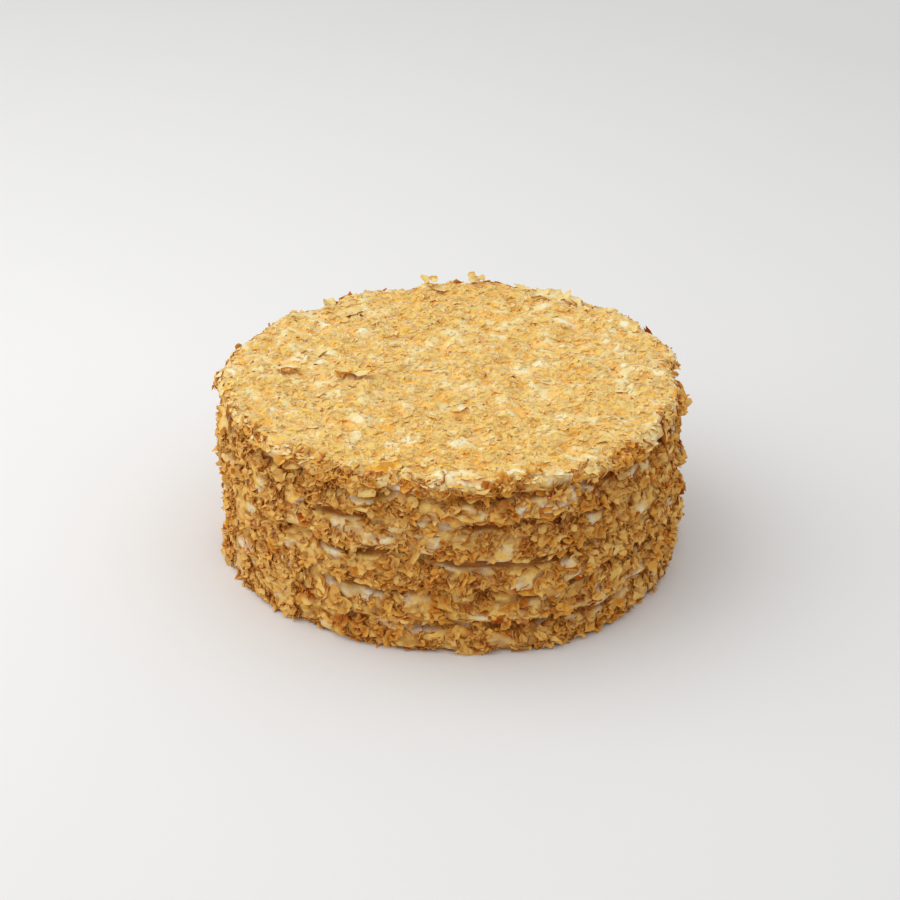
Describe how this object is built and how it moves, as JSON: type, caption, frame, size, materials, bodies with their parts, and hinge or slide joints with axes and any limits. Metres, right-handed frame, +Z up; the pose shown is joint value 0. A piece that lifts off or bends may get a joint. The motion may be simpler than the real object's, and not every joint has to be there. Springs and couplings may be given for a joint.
{
  "type": "crumb-coated layered pastry cake",
  "caption": "Round layered pastry cake, uncut, its top and side covered in a rough coat of cream and browned pastry crumbs.",
  "frame": {"origin": "centre of the flat underside, on the surface the cake stands on", "axes": "+Z up through the middle of the cake; -Y is the side that faces the viewer"},
  "size_m": [0.1835, 0.1838, 0.0737],
  "materials": {
    "crumb_coat": "matte, golden brown baked crumbs over pale cream"
  },
  "bodies": {
    "root": {"cake": "crumb_coat"}
  },
  "joints": []
}
